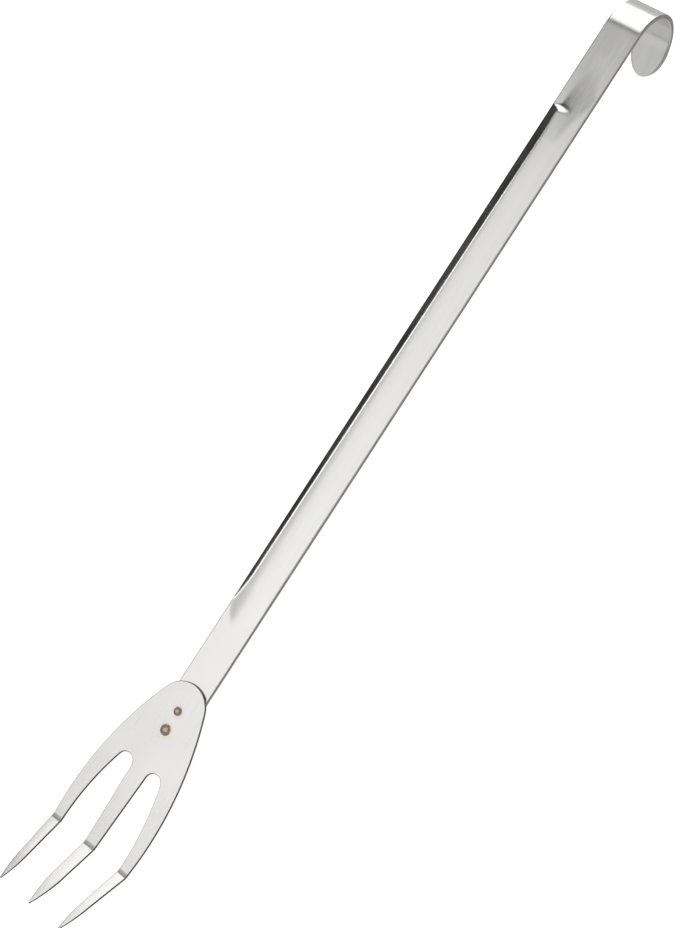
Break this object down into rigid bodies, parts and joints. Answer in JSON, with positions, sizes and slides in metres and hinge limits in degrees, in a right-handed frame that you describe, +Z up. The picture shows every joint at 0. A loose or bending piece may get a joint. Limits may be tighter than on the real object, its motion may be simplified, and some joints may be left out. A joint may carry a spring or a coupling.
{
  "type": "long-handled cooking fork",
  "caption": "Long stainless cooking fork: slotted leaf head with bent-up tines, spot-welded to a crowned strip handle rolled into a hanging hook.",
  "frame": {"origin": "middle of the footprint, on the surface that the fork lies on", "axes": "+X along the fork from the tine points towards the hook, +Z up with the front of the fork up, +Y across the fork"},
  "size_m": [0.5193, 0.0522, 0.0479],
  "materials": {
    "handle_steel": "satin",
    "head_steel": "satin",
    "weld_steel": "satin, faint heat tint"
  },
  "bodies": {
    "root": {"handle_strap": "handle_steel", "fork_head": "head_steel", "spot_weld_upper": "weld_steel", "spot_weld_lower": "weld_steel"}
  },
  "joints": []
}
